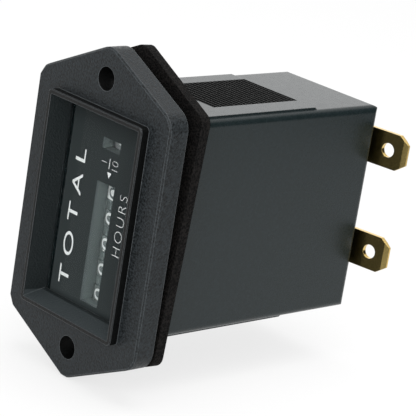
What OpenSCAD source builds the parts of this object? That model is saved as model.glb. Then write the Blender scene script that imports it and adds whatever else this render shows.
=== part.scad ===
// Panel hour meter with a two-hole flange, a five-drum counter and a quartz step motor.
// The face looks along -Y, the drums turn about Z, and the origin is the middle of the flange's back face.

/* [Flange] */
// Width of the flange across its straight sides
flange_w = 32.3; // [30:0.1:36]
// How far the straight sides run past each end of the case, before rounding
side_out = 2.1; // [1.6:0.1:3]
// How far a screw hole stands out from the end of the case
screw_out = 4.45; // [4:0.05:6]
// How far a tip stands out from its screw hole, before rounding
tip_out = 5.5; // [5:0.1:7]
// Radius of the flange's corners
flange_r = 3.5; // [2.5:0.1:4.5]
// Thickness of the flange
flange_t = 3.8; // [3:0.1:5]
// Chamfer along the flange's front edge
flange_edge = 0.3; // [0.1:0.05:0.5]
// Diameter of the screw holes
screw_hole_d = 3.9; // [3.2:0.1:4.4]

/* [Rim and lens] */
// How far the rim's long sides stand out from the case's sides
rim_side_out = 0.1; // [0:0.05:0.5]
// How far the rim's ends stand in from the case's ends
rim_end_in = 0.2; // [0:0.05:0.4]
// Corner radius of the raised rim
rim_r = 0.8; // [0.4:0.1:1.5]
// Height of the rim above the flange
rim_rise = 1.6; // [1:0.1:2.5]
// Width of the rim's front land
rim_land = 0.75; // [0.5:0.05:0.9]
// Chamfer along the rim's front edge
rim_edge = 0.15; // [0.05:0.05:0.25]
// Depth from the rim's front to the lens
recess_depth = 4; // [3:0.1:4.3]
// How far the recess closes in on each long side
recess_side_in = 0.8; // [0.4:0.1:1]
// How far the recess closes in on each end
recess_end_in = 1.3; // [0.8:0.1:1.5]
// Thickness of the lens
lens_t = 1.4; // [1:0.1:1.6]
// How far the lens reaches behind the recess lip
lens_lip = 0.6; // [0.4:0.05:0.7]

/* [Case] */
// Width of the case
case_w = 22.8; // [22.4:0.1:24]
// Height of the case
case_h = 36.8; // [36.6:0.1:38]
// Depth of the case behind the flange
case_depth = 49.6; // [48:0.1:56]
// Wall of the case
case_wall = 1.2; // [1:0.05:1.3]
// Radius of the case's edges
case_edge = 1.1; // [0.6:0.1:1.5]

/* [Clamp pads] */
// Width of the raised pad on each end of the case
pad_w = 20.6; // [16:0.1:20.6]
// Length of the pad behind the flange
pad_len = 34.5; // [30:0.5:40]
// Height of the pad
pad_rise = 0.35; // [0.2:0.05:0.6]
// Width of the toothed field
field_w = 13; // [8:0.5:14]
// Length of the toothed field
field_len = 19.6; // [12:0.2:24]
// Offset of the field from the middle of the pad
field_x = -0.5; // [-1:0.1:1]
// Spacing of the clamp teeth
tooth_pitch = 0.98; // [0.8:0.02:1.4]
// Width of a clamp tooth's top
tooth_land = 0.33; // [0.25:0.01:0.5]
// Depth of the grooves between the clamp teeth
tooth_depth = 0.7; // [0.4:0.05:0.9]

/* [Gasket] */
// Thickness of the foam gasket
gasket_t = 1.9; // [1.5:0.1:3]
// Lean of the loose gasket against the flange
gasket_lean = 3.2; // [1:0.1:4]
// Radius of the gasket's corners
gasket_r = 2; // [1:0.1:4]
// Clearance of the gasket's opening round the case
gasket_clear = 0.3; // [0.25:0.05:0.6]

/* [Terminals] */
// Width of a blade
blade_w = 6.3; // [4.8:0.1:6.4]
// Thickness of a blade
blade_t = 0.8; // [0.5:0.1:1]
// Length of a blade from its bend
blade_len = 13.5; // [12:0.1:15]
// Hole in a blade
blade_hole_d = 2.5; // [1.5:0.1:3]
// Distance from a blade's tip to its hole
blade_hole_back = 3.9; // [3.5:0.1:5]
// Lean of the blades away from the case
blade_lean = 8; // [4:0.5:10]
// Distance between the two blades
blade_pitch = 18.6; // [14:0.1:19]
// Distance of the upper blade from the end of the case
blade_in = 7.4; // [6:0.1:9]
// Place of the bend across the case
blade_root_x = 4; // [3:0.1:5]

/* [Dial] */
// Thickness of the dial plate
dial_t = 0.4; // [0.3:0.05:0.5]
// Thickness of the mask plate behind the dial
mask_t = 0.9; // [0.6:0.1:1]
// Depth of the window wells from the dial's face
well_depth = 2.2; // [1.8:0.1:2.6]
// Height of both windows along the digits
window_h = 4.3; // [3.6:0.1:4.6]
// How much longer the counter window is than the row of number bands
window_spare = 0.5; // [0.3:0.05:0.6]
// Length of the run indicator window
run_window_len = 1.85; // [1.4:0.05:2.4]

/* [Counter] */
// Place of the drum axis across the case
drum_x = -0.3; // [-0.5:0.1:0]
// Radius of the number drums, as a share of half the counter frame's width
drum_share = 0.6; // [0.58:0.005:0.6]
// Length of the case's inside that the gear train and the walls need; the drums share the rest
train_room = 12.4; // [12.2:0.1:13]
// Diameter of the drum shaft
drum_shaft_d = 1.5; // [1:0.1:2]
// Diameter of the pinion shaft
pinion_shaft_d = 0.8; // [0.6:0.05:0.9]

/* [Step motor] */
// Diameter of the rotor magnet, as a share of half the counter frame's width
magnet_share = 0.36; // [0.3:0.01:0.38]
// Thickness of the stator plate
stator_t = 0.7; // [0.5:0.05:0.75]
// Length of the coil between its flanges
coil_len = 11; // [8:0.5:12]
// Outer diameter of the winding
winding_d = 5; // [4:0.1:5.4]

/* [Circuit board] */
// Thickness of the circuit board
board_t = 1.2; // [0.8:0.1:1.6]
// Distance of the board's front from the flange
board_y = 36; // [34.5:0.5:37]
// Side of the timing chip
chip_side = 5; // [4:0.1:6]
// Height of the timing chip
chip_t = 1.6; // [1.2:0.1:2]
// Diameter of the quartz crystal's can
crystal_d = 2; // [1.6:0.1:3]
// Length of the quartz crystal's can
crystal_len = 6; // [5:0.1:8]
// Diameter of the smoothing capacitor
capacitor_d = 5; // [4:0.1:6]
// Height of the smoothing capacitor
capacitor_len = 9; // [7:0.5:11]
// Diameter of the diode
diode_d = 2; // [1.5:0.1:2.5]
// Length of the diode
diode_len = 4.5; // [4:0.1:5.5]
// Diameter of the dropper resistor
resistor_d = 2.2; // [1.8:0.1:2.6]
// Length of the dropper resistor
resistor_len = 6.5; // [5:0.1:8]

/* [Hidden] */
$fn = 64;
// Small clearances: sliding fits, running pivots and end play
fit = 0.1;
run = 0.03;
play = 0.1;
// How far a cut runs past the surface it opens, and how far joined forms sink into each other
over = 1;
sink = 0.1;
// Tooth proportions, as shares of the module
wheel_tooth = [1.25, 0.75, 1.2, 0.4];
leaf_tooth = [1, 0.55, 1.25, 0.45];

// Flange and rim, from the case
flange_side_h = case_h + 2 * side_out;
screw_pitch = case_h + 2 * screw_out;
flange_tip_h = screw_pitch + 2 * tip_out;
rim_w = case_w + 2 * rim_side_out;
rim_h = case_h - 2 * rim_end_in;
gasket_hole_clear = 0.3;
pad_slope = 1.2;

// Case cavity and the plates that drop into its mouth
cavity_w = case_w - 2 * case_wall;
cavity_h = case_h - 2 * case_wall;
plate_w = cavity_w - 2 * fit;
plate_h = cavity_h - 2 * fit;
frame_half = plate_w / 2 - fit;
drum_r = drum_share * frame_half;
magnet_d = magnet_share * frame_half;
recess_w = rim_w - 2 * rim_land;
recess_h = rim_h - 2 * rim_land;
sight_w = recess_w - 2 * recess_side_in;
sight_h = recess_h - 2 * recess_end_in;
lens_w = sight_w + 2 * lens_lip;
lens_h = sight_h + 2 * lens_lip;

// Levels along the depth
rim_front = -flange_t - rim_rise;
lens_front = rim_front + recess_depth;
lens_back = lens_front + lens_t;
dial_front = max(0, lens_back);
mask_front = dial_front + dial_t;
mask_back = mask_front + mask_t;
well_back = dial_front + well_depth;
drum_gap = 0.2;
drum_y = well_back + drum_gap + drum_r;

// Drum stack, counted from the low wall of the counter
drum_count = 5;
drum_shaft_r = drum_shaft_d / 2;
pinion_shaft_r = pinion_shaft_d / 2;
gear_t = 0.7;
finger_t = 0.8;
hub_wall = 0.9;
hub_r = drum_shaft_r + hub_wall;
band_wall = 1.7;
drum_pitch = (cavity_h - train_room) / drum_count;
band_w = drum_pitch - gear_t - finger_t - 3 * play;
low_wall_t = 0.8;
low_gap = 0.35;
low_wall_z = fit - cavity_h / 2;
first_drum_z = low_wall_z + low_wall_t + low_gap + band_w / 2;
function drum_z(i) = first_drum_z + i * drum_pitch;

// Gears: teeth, and modules counted in the radius of a drum
carry_count = 12;
carry_mod = drum_r / carry_count;
carry_teeth = 20;
leaf_teeth = 8;
carry_dist = carry_mod * (carry_teeth + leaf_teeth) / 2;
tenths_teeth = 48;
tenths_mod = 2 * carry_dist / (tenths_teeth + leaf_teeth);
third_teeth = 48;
third_count = 30;
third_mod = drum_r / third_count;
second_teeth = 50;
second_share = 0.95;
second_mod = second_share * third_mod;
run_teeth = 64;
finger_lag = 40;

// Pole ring round the rotor's magnet
pole_gap = 0.3;
pole_r = magnet_d / 2 + pole_gap;
pole_wall = 1.2;
pole_edge = 0.2;

// Axes of the train: D drums and indicator, P pinion shaft, W second wheel, R rotor
third_dist = third_mod * (third_teeth + leaf_teeth) / 2;
second_dist = second_mod * (second_teeth + leaf_teeth) / 2;
pinion_angle = 115;
second_turn = acos((carry_dist ^ 2 + second_dist ^ 2 - third_dist ^ 2) / (2 * carry_dist * second_dist));
second_angle = pinion_angle - second_turn;
rotor_angle = -6;
rotor_dist = (frame_half - pole_edge - pole_wall - pole_r - drum_x) / cos(rotor_angle);
run_mod = 2 * rotor_dist / (run_teeth + leaf_teeth);
axis_d = [drum_x, drum_y];
axis_p = axis_d + carry_dist * [cos(pinion_angle), sin(pinion_angle)];
axis_w = axis_d + second_dist * [cos(second_angle), sin(second_angle)];
axis_r = axis_d + rotor_dist * [cos(rotor_angle), sin(rotor_angle)];
third_angle = atan2(axis_w[1] - axis_p[1], axis_w[0] - axis_p[0]);

// Levels along the drum axis, from the low end of the counter to the end plate
gear_clear = 0.3;
tenths_rise = 0.2;
tenths_room = 1.55;
tenths_neck_in = 2.4;
tenths_gear_z = drum_z(drum_count - 1) + band_w / 2 + tenths_rise;
mid_wall_z = tenths_gear_z + tenths_room;
mid_wall_t = 1.4;
train_z = mid_wall_z + mid_wall_t;
third_gear_z = train_z + gear_clear;
wheel_t = 0.6;
wheel_step = 0.4;
second_gear_z = third_gear_z + wheel_t + wheel_step;
second_gear_t = 0.5;
band_low_z = second_gear_z + second_gear_t + gear_clear;
run_band_w = 3.1;
run_band_r = drum_r - fit;
run_gear_z = band_low_z + run_band_w + gear_clear;
run_wall = 1;
run_web = 0.8;
run_hub_r = 1.5;
run_collar_r = 0.9;
leaf_over = 0.2;
sleeve_wall = 0.35;
end_plate_t = 1;
end_room = 0.6;
end_plate_z = cavity_h / 2 - end_room - end_plate_t;
pivot_r = 0.35;
stud_r = 0.3;
stud_over = 0.15;
pivot_in = 0.7;
shaft_in = 0.5;
carry_half = [0.32, 0.3, 0.14];
carry_tall = 0.3;

// Window places on the dial, over the drums and the indicator's band
window_x = drum_x;
window_len = (drum_count - 1) * drum_pitch + band_w + window_spare;
window_up = 0.45;
window_z = drum_z((drum_count - 1) / 2) + window_up;
run_up = 0.35;
run_window_z = band_low_z + run_band_w / 2 + run_up;
well_wall = 0.5;

// Frame plates
base_clear = 0.4;
base_y = axis_p[1] + third_mod * (third_teeth / 2 + 1) + base_clear;
base_t = 1;
base_back = base_y + base_t;
pillar_r = 1.1;
pillar_in = [1.5, 1.4];
pillar_front = [1.6, 1.3];
pillar_back = 0.9;
pillar_at = [[pillar_in[0] - frame_half, mask_back + pillar_front[0]],
    [pillar_in[0] - frame_half, base_y - pillar_back],
    [frame_half - pillar_in[1], mask_back + pillar_front[1]]];
screw_core_r = 0.5;
plate_shank = 2.5;
stator_shank = 1.2;
hole_spare = 0.4;
slot_half = 0.12;
screw_head_r = 0.95;
screw_head_t = 0.5;

// Step motor
stator_z = train_z + gear_clear;
stator_top = stator_z + stator_t;
magnet_t = 1.5;
magnet_clear = 0.25;
magnet_z = train_z + magnet_clear;
magnet_hub_r = 0.7;
notch_half = 0.2;
notch_neck = 0.4;
leg_w = 1.8;
leg_edge = 0.3;
leg_shift = 0.6;
leg_clear = 0.5;
leg_out_x = frame_half - leg_edge - leg_w;
leg_in_x = axis_r[0] - pole_r - leg_shift;
leg_turn_y = base_back + leg_clear;
coil_clear = 0.8;
coil_y = leg_turn_y + leg_w + coil_clear + winding_d / 2;
core_w = 1.6;
core_t = 0.8;
bobbin_wall = 0.4;
flange_gap = 0.5;
bobbin_lip = 0.4;
bobbin_side = winding_d + 2 * bobbin_lip;
lead_r = 0.15;
coil_z = stator_top + core_t / 2;
boss_back = 4.8;
boss_in = [0.8, 1.2];
stator_boss_at = [[leg_out_x + leg_w / 2, axis_r[1] + boss_back],
    [leg_in_x + boss_in[0], base_y - boss_in[1]]];

// Board and its seats
board_side_gap = 0.6;
board_end_gap = 1;
board_w = cavity_w - 2 * board_side_gap;
board_h = cavity_h - 2 * board_end_gap;
board_low = -board_h / 2;
rib_w = 0.8;
rib_len = 2;
rib_from_end = 3.2;
rib_gap = 1;
rib_at = [board_low + rib_from_end, mid_wall_z - rib_gap - rib_len];

// Places of the parts on the board: in from its nearer side, and up from its low edge
chip_up = 14.7;
crystal_at = [3.6, 11.2];
capacitor_at = [5.1, 6.2];
diode_at = [7.6, 3.2];
resistor_at = [3.1, 12.2];
chip_leg = [0.6, 0.5, 0.4];
chip_leg_pitch = 1.27;

rear_inside = case_depth - case_wall;

// Terminals
blade_leg_w = 4;
blade_gap = 0.3;
blade_y = case_depth + blade_gap;
blade_corner = [1.9, 1.35];
blade_tip_t = 0.4;
blade_tip_len = 1;
blade_top_z = case_h / 2 - blade_in;
blade_places = [blade_top_z, blade_top_z - blade_pitch];

// Carries a flat outline (x, z) along the depth from y0 to y1
module along_y(y0, y1) translate([0, y1, 0]) rotate([90, 0, 0]) linear_extrude(y1 - y0) children();

// Carries a flat outline (y, z) across the width from x0 to x1
module along_x(x0, x1) translate([x0, 0, 0]) rotate([90, 0, 90]) linear_extrude(x1 - x0) children();

// Carries a flat outline (x, y) up the drum axis from z0 to z1
module along_z(z0, z1) translate([0, 0, z0]) linear_extrude(z1 - z0) children();

// A box by its two opposite corners
module block(a, b) translate(a) cube(b - a);

// A round bar along the drum axis
module bar(at, r, z0, z1) translate([at[0], at[1], z0]) cylinder(r = r, h = z1 - z0);

function unit(v) = v / norm(v);
function corner_turn(p, q, s) = acos(unit(p - q) * unit(s - q));

// A convex outline whose corners are true arcs
module round_outline(points, r) {
    n = len(points);
    polygon([for (i = [0:n - 1]) let (q = points[i], p = points[(i + n - 1) % n], s = points[(i + 1) % n],
        reach = r / tan(corner_turn(p, q, s) / 2)) each [q + unit(p - q) * reach, q + unit(s - q) * reach]]);
    for (i = [0:n - 1]) {
        q = points[i];
        p = points[(i + n - 1) % n];
        s = points[(i + 1) % n];
        translate(q + unit(unit(p - q) + unit(s - q)) * r / sin(corner_turn(p, q, s) / 2)) circle(r);
    }
}

function box_points(w, h) = [[-w, -h] / 2, [w, -h] / 2, [w, h] / 2, [-w, h] / 2];

// Outline of the flange, drawn in by an inset
function flange_points(inset) = let (slope = atan2(flange_tip_h - flange_side_h, flange_w),
    half = flange_w / 2 - inset, tip = flange_tip_h / 2 - inset / cos(slope), side = tip - half * tan(slope))
    [[half, -side], [half, side], [0, tip], [-half, side], [-half, -side], [0, -tip]];

// Centre of the corner arc at point i of a convex outline
function arc_centre(points, i, r) = let (n = len(points), q = points[i], p = points[(i + n - 1) % n],
    s = points[(i + 1) % n]) q + unit(unit(p - q) + unit(s - q)) * r / sin(corner_turn(p, q, s) / 2);

// Cuts a 45 degree chamfer along the front edge where the outline's tangent faces a direction in (x, z)
module edge_cut(out, reach, front, edge) {
    translate([out[0] * (reach - edge), front, out[1] * (reach - edge)])
    rotate([0, -atan2(out[1], out[0]), 0]) rotate([0, 0, -45])
        block([0, -flange_tip_h, -flange_tip_h], [flange_tip_h, flange_tip_h, flange_tip_h]);
}

// Chamfer round the front face of a rounded convex outline: one cut to each side and one to each corner
module front_chamfer(points, r, front, edge) {
    n = len(points);
    for (i = [0:n - 1]) {
        a = arc_centre(points, i, r);
        b = arc_centre(points, (i + 1) % n, r);
        out = unit([b[1] - a[1], a[0] - b[0]]);
        edge_cut(out, a * out + r, front, edge);
        corner = unit(points[i] - a);
        edge_cut(corner, a * corner + r, front, edge);
    }
}

// Gear outline: radial flanks up to the pitch circle, then narrowing to the tip
// form holds the tooth's width, addendum, dedendum and tip share
module gear(teeth, mod, form, turn) {
    pitch_r = mod * teeth / 2;
    half = form[0] * mod / 2 / pitch_r * 180 / PI;
    corners = [[-form[2], -1], [0, -1], [form[1], -form[3]], [form[1], form[3]], [0, 1], [-form[2], 1]];
    polygon([for (i = [0:teeth - 1], c = corners) let (a = turn + i * 360 / teeth + c[1] * half)
        (pitch_r + c[0] * mod) * [cos(a), sin(a)]]);
}
function gap_turn(angle) = angle + 180 + 180 / leaf_teeth;

module front_bezel() {
    color([0.17, 0.18, 0.18])
    difference() {
        union() {
            difference() {
                along_y(-flange_t, 0) round_outline(flange_points(0), flange_r);
                front_chamfer(flange_points(0), flange_r, -flange_t, flange_edge);
            }
            difference() {
                along_y(rim_front, -flange_t) round_outline(box_points(rim_w, rim_h), rim_r);
                front_chamfer(box_points(rim_w, rim_h), rim_r, rim_front, rim_edge);
            }
        }
        intersection() {
            along_z(-rim_h, rim_h) polygon([[-recess_w / 2, rim_front], [recess_w / 2, rim_front],
                [sight_w / 2, lens_front], [-sight_w / 2, lens_front]]);
            along_x(-rim_w, rim_w) polygon([[rim_front, -recess_h / 2], [lens_front, -sight_h / 2],
                [lens_front, sight_h / 2], [rim_front, recess_h / 2]]);
        }
        block([-lens_w / 2 - fit, lens_front, -lens_h / 2 - fit], [lens_w / 2 + fit, over, lens_h / 2 + fit]);
        for (side = [-1, 1])
            translate([0, over, side * screw_pitch / 2]) rotate([90, 0, 0])
                cylinder(d = screw_hole_d, h = flange_t + rim_rise + 2 * over);
    }
}

module panel_gasket() {
    reach = flange_tip_h / 2;
    color([0.13, 0.12, 0.11])
    translate([0, reach * tan(gasket_lean), 0]) rotate([-gasket_lean, 0, 0])
    difference() {
        along_y(0, gasket_t) round_outline(flange_points(0), gasket_r);
        along_y(-over, gasket_t + over) round_outline(box_points(case_w + 2 * gasket_clear,
            case_h + 2 * (pad_rise + gasket_clear) / cos(gasket_lean)), case_edge);
        for (side = [-1, 1])
            translate([0, gasket_t + over, side * screw_pitch / 2]) rotate([90, 0, 0])
                cylinder(d = screw_hole_d + 2 * gasket_hole_clear, h = gasket_t + 2 * over);
    }
}

// One clamp pad on the upper end face, with its row of teeth for the mounting bracket
module clamp_pad() {
    top = case_h / 2 + pad_rise;
    low = case_h / 2 - case_wall / 2;
    along_x(-pad_w / 2, pad_w / 2) polygon([[0, low], [0, top], [pad_len, top], [pad_len + pad_slope, low]]);
}
module clamp_grooves() {
    top = case_h / 2 + pad_rise;
    for (i = [0:floor(field_len / tooth_pitch) - 1])
        translate([field_x, pad_len - i * tooth_pitch, top])
            block([-field_w / 2, tooth_land - tooth_pitch, -tooth_depth], [field_w / 2, 0, over]);
}

module rear_case() {
    color([0.24, 0.26, 0.26])
    difference() {
        union() {
            difference() {
                intersection() {
                    along_y(0, case_depth) round_outline(box_points(case_w, case_h), case_edge);
                    along_x(-case_w, case_w) translate([case_depth - case_h, 0])
                        round_outline(box_points(2 * case_h, case_h), case_edge);
                    along_z(-case_h, case_h) translate([0, case_depth - case_h])
                        round_outline(box_points(case_w, 2 * case_h), case_edge);
                }
                block([-cavity_w / 2, -over, -cavity_h / 2], [cavity_w / 2, rear_inside, cavity_h / 2]);
            }
            for (end = [0, 1])
                mirror([0, 0, end]) clamp_pad();
            for (x = [-cavity_w / 2, cavity_w / 2], z = rib_at) {
                block([x - rib_w, base_back, z], [x + rib_w, board_y, z + rib_len]);
                block([x - rib_w, board_y + board_t, z], [x + rib_w, rear_inside + sink, z + rib_len]);
            }
        }
        for (end = [0, 1])
            mirror([0, 0, end]) clamp_grooves();
        for (z = blade_places)
            block([blade_root_x - fit, rear_inside - over, z - blade_leg_w / 2 - fit],
                [blade_root_x + blade_t + fit, case_depth + over, z + blade_leg_w / 2 + fit]);
    }
}

module lens() {
    color([0.8, 0.85, 0.86, 0.35])
    block([-lens_w / 2, lens_front, -lens_h / 2], [lens_w / 2, lens_back, lens_h / 2]);
}

// The two window openings, from y0 to y1 and larger all round by a margin
module windows(y0, y1, margin) {
    for (w = [[window_z, window_len], [run_window_z, run_window_len]])
        block([window_x - window_h / 2 - margin, y0, w[0] - w[1] / 2 - margin],
            [window_x + window_h / 2 + margin, y1, w[0] + w[1] / 2 + margin]);
}

module dial_plate() {
    color([0.2, 0.21, 0.22])
    difference() {
        block([-plate_w / 2, dial_front, -plate_h / 2], [plate_w / 2, mask_front, plate_h / 2]);
        windows(dial_front - over, mask_front + over, 0);
    }
}

module counter_mask() {
    color([0.36, 0.39, 0.39])
    difference() {
        union() {
            block([-plate_w / 2, mask_front, -plate_h / 2], [plate_w / 2, mask_back, plate_h / 2]);
            intersection() {
                windows(mask_back - sink, well_back, well_wall);
                block([-plate_w, mask_front, low_wall_z + low_wall_t + play], [plate_w, well_back, plate_h]);
            }
        }
        windows(mask_front - over, well_back + over, 0);
    }
}

// A blade terminal: a leg from the board through the rear wall, then the blade across the back
module terminal(z) {
    color([0.62, 0.5, 0.2])
    translate([0, 0, z]) {
        block([blade_root_x, board_y + board_t, -blade_leg_w / 2],
            [blade_root_x + blade_t, blade_y + blade_t / 2, blade_leg_w / 2]);
        translate([blade_root_x, blade_y, 0]) rotate([0, 0, blade_lean])
        intersection() {
            difference() {
                along_y(0, blade_t) polygon([[0, -blade_w / 2], [blade_len - blade_corner[0], -blade_w / 2],
                    [blade_len, blade_corner[1] - blade_w / 2], [blade_len, blade_w / 2 - blade_corner[1]],
                    [blade_len - blade_corner[0], blade_w / 2], [0, blade_w / 2]]);
                translate([blade_len - blade_hole_back, blade_t + over, 0]) rotate([90, 0, 0])
                    cylinder(d = blade_hole_d, h = blade_t + 2 * over);
            }
            along_z(-blade_w, blade_w) polygon([[-over, 0], [blade_len - blade_tip_len, 0],
                [blade_len, blade_tip_t / 2], [blade_len, blade_t - blade_tip_t / 2],
                [blade_len - blade_tip_len, blade_t], [-over, blade_t]]);
        }
    }
}
module terminal_upper() terminal(blade_places[0]);
module terminal_lower() terminal(blade_places[1]);

module counter_frame() {
    color([0.82, 0.82, 0.78])
    difference() {
        union() {
            block([-frame_half, base_y, low_wall_z], [frame_half, base_back, train_z]);
            block([-frame_half, mask_back, low_wall_z], [frame_half, base_back, low_wall_z + low_wall_t]);
            block([-frame_half, mask_back, mid_wall_z], [frame_half, base_back, train_z]);
            for (p = pillar_at)
                bar(p, pillar_r, mid_wall_z, end_plate_z);
            for (p = stator_boss_at)
                bar(p, leg_w / 2, mid_wall_z, stator_z);
        }
        bar(axis_d, drum_shaft_r, low_wall_z - over, mid_wall_z + shaft_in);
        bar(axis_d, pivot_r + run, train_z - pivot_in, train_z + over);
        bar(axis_p, pinion_shaft_r, low_wall_z - over, low_wall_z + low_wall_t + over);
        bar(axis_p, tenths_mod * (leaf_teeth / 2 + 1), mid_wall_z - over, train_z + over);
        bar(axis_r, pivot_r + run, train_z - pivot_in, train_z + over);
        bar(axis_w, stud_r, train_z - pivot_in, train_z + over);
        for (p = pillar_at)
            bar(p, screw_core_r, end_plate_z - plate_shank - hole_spare, end_plate_z + over);
        for (p = stator_boss_at)
            bar(p, screw_core_r, stator_z - stator_shank - hole_spare, stator_z + over);
    }
}

module end_plate() {
    color([0.82, 0.82, 0.78])
    difference() {
        block([-frame_half, mask_back, end_plate_z], [frame_half, base_back, end_plate_z + end_plate_t]);
        for (p = [axis_d, axis_r])
            bar(p, pivot_r + run, end_plate_z - over, end_plate_z + pivot_in);
        bar(axis_p, pinion_shaft_r, end_plate_z - over, end_plate_z + pivot_in);
        for (p = pillar_at)
            bar(p, screw_core_r + fit, end_plate_z - over, end_plate_z + end_plate_t + over);
    }
}

// Pan-head screws standing on z, with their shanks below it
module screws(places, z, shank) {
    for (p = places)
        difference() {
            union() {
                bar(p, screw_head_r, z, z + screw_head_t);
                bar(p, screw_core_r, z - shank, z + screw_head_t / 2);
            }
            block([p[0] - screw_head_r, p[1] - slot_half, z + screw_head_t / 2],
                [p[0] + screw_head_r, p[1] + slot_half, z + over]);
        }
}
module end_plate_screws()
    color([0.75, 0.75, 0.73]) screws(pillar_at, end_plate_z + end_plate_t, end_plate_t + plate_shank);
module stator_screws() color([0.75, 0.75, 0.73]) screws(stator_boss_at, stator_top, stator_t + stator_shank);

module drum_shaft() {
    color([0.72, 0.73, 0.74])
    bar(axis_d, drum_shaft_r, low_wall_z, mid_wall_z + shaft_in);
}
module pinion_shaft() {
    color([0.72, 0.73, 0.74])
    bar(axis_p, pinion_shaft_r, low_wall_z, end_plate_z + pivot_in);
}
module second_wheel_stud() {
    color([0.72, 0.73, 0.74])
    bar(axis_w, stud_r, train_z - pivot_in, second_gear_z + second_gear_t + stud_over);
}

// A number drum: band, driven gear on its upper side and, below, the two teeth that carry
module drum(i, shade) {
    z = drum_z(i);
    low = z - band_w / 2;
    top = z + band_w / 2;
    has_finger = i > 0;
    is_tenths = i == drum_count - 1;
    color(shade)
    translate([axis_d[0], axis_d[1], 0])
    difference() {
        union() {
            difference() {
                along_z(low, top) circle(drum_r);
                along_z(low - over, top - gear_t) circle(drum_r - band_wall);
            }
            if (is_tenths) {
                along_z(top - sink, tenths_gear_z) circle(carry_dist - tenths_neck_in);
                along_z(tenths_gear_z, tenths_gear_z + wheel_t)
                    gear(tenths_teeth, tenths_mod, wheel_tooth, pinion_angle);
            } else
                along_z(top - sink, top + gear_t) gear(carry_teeth, carry_mod, wheel_tooth, pinion_angle);
            if (has_finger)
                for (k = [-0.5, 0.5])
                    along_z(low - finger_t, low + sink)
                        rotate(pinion_angle - finger_lag + k * 360 / carry_teeth) carry_tooth();
            along_z(has_finger ? z - drum_pitch / 2 + play / 2 : low_wall_z + low_wall_t + play,
                is_tenths ? mid_wall_z - play : z + drum_pitch / 2 - play / 2) circle(hub_r);
        }
        along_z(z - drum_pitch, z + drum_pitch) circle(drum_shaft_r + run);
    }
}
// One tooth that stands on the end of the band
module carry_tooth() {
    root = drum_r - band_wall + sink;
    pitch_r = carry_mod * carry_teeth / 2;
    tip = pitch_r + carry_tall;
    polygon([[root, -carry_half[0]], [pitch_r, -carry_half[1]], [tip, -carry_half[2]],
        [tip, carry_half[2]], [pitch_r, carry_half[1]], [root, carry_half[0]]]);
}
black_drum = [0.09, 0.09, 0.1];
module thousands_drum() drum(0, black_drum);
module hundreds_drum() drum(1, black_drum);
module tens_drum() drum(2, black_drum);
module units_drum() drum(3, black_drum);
module tenths_drum() drum(4, [0.92, 0.92, 0.9]);

// A transfer pinion between a drum and the next lower one
module transfer_pinion(i) {
    low = drum_z(i) + band_w / 2 + play;
    high = drum_z(i + 1) - band_w / 2 - play;
    color([0.88, 0.86, 0.8])
    translate([axis_p[0], axis_p[1], 0])
    difference() {
        along_z(low, high) gear(leaf_teeth, carry_mod, leaf_tooth, gap_turn(pinion_angle));
        along_z(low - over, high + over) circle(pinion_shaft_r + run);
    }
}
module thousands_pinion() transfer_pinion(0);
module hundreds_pinion() transfer_pinion(1);
module tens_pinion() transfer_pinion(2);
module units_pinion() transfer_pinion(3);

module run_indicator() {
    band_top = band_low_z + run_band_w;
    color([0.45, 0.48, 0.48])
    translate([axis_d[0], axis_d[1], 0]) {
        along_z(train_z - pivot_in + play, end_plate_z + pivot_in - play) circle(pivot_r);
        along_z(second_gear_z - leaf_over, band_low_z + sink)
            gear(leaf_teeth, second_mod, leaf_tooth, second_angle + 180 / leaf_teeth);
        difference() {
            along_z(band_low_z, band_top) circle(run_band_r);
            along_z(band_low_z - over, band_top - run_web) difference() {
                circle(run_band_r - run_wall);
                circle(run_hub_r);
            }
        }
        along_z(band_top - sink, run_gear_z) circle(run_band_r - run_hub_r);
        along_z(run_gear_z, run_gear_z + wheel_t) gear(run_teeth, run_mod, wheel_tooth, rotor_angle);
        along_z(run_gear_z, end_plate_z - play) circle(run_collar_r);
    }
}

module second_wheel() {
    color([0.88, 0.86, 0.8])
    translate([axis_w[0], axis_w[1], 0])
    difference() {
        union() {
            along_z(train_z + play, second_gear_z + sink)
                gear(leaf_teeth, third_mod, leaf_tooth, third_angle + 180 / leaf_teeth);
            along_z(second_gear_z, second_gear_z + second_gear_t)
                gear(second_teeth, second_mod, wheel_tooth, second_angle + 180);
        }
        along_z(train_z - over, second_gear_z + second_gear_t + over) circle(stud_r + run);
    }
}

module third_wheel() {
    pinion_low = tenths_gear_z - play;
    color([0.88, 0.86, 0.8])
    translate([axis_p[0], axis_p[1], 0])
    difference() {
        union() {
            along_z(third_gear_z, third_gear_z + wheel_t)
                gear(third_teeth, third_mod, wheel_tooth, third_angle);
            along_z(pinion_low + wheel_t, third_gear_z + sink) circle(pinion_shaft_r + sleeve_wall);
            along_z(pinion_low, tenths_gear_z + wheel_t + play)
                gear(leaf_teeth, tenths_mod, leaf_tooth, gap_turn(pinion_angle));
        }
        along_z(pinion_low - over, third_gear_z + wheel_t + over) circle(pinion_shaft_r + run);
    }
}

module rotor_arbor() {
    color([0.88, 0.86, 0.8])
    translate([axis_r[0], axis_r[1], 0]) {
        along_z(train_z - pivot_in + play, end_plate_z + pivot_in - play) circle(pivot_r);
        along_z(magnet_z, magnet_z + magnet_t) circle(magnet_hub_r);
        along_z(run_gear_z - leaf_over, run_gear_z + wheel_t + leaf_over)
            gear(leaf_teeth, run_mod, leaf_tooth, gap_turn(rotor_angle));
    }
}
module rotor_magnet() {
    color([0.3, 0.3, 0.32])
    translate([axis_r[0], axis_r[1], 0])
    difference() {
        along_z(magnet_z, magnet_z + magnet_t) circle(d = magnet_d);
        along_z(magnet_z - over, magnet_z + magnet_t + over) circle(magnet_hub_r);
    }
}

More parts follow.
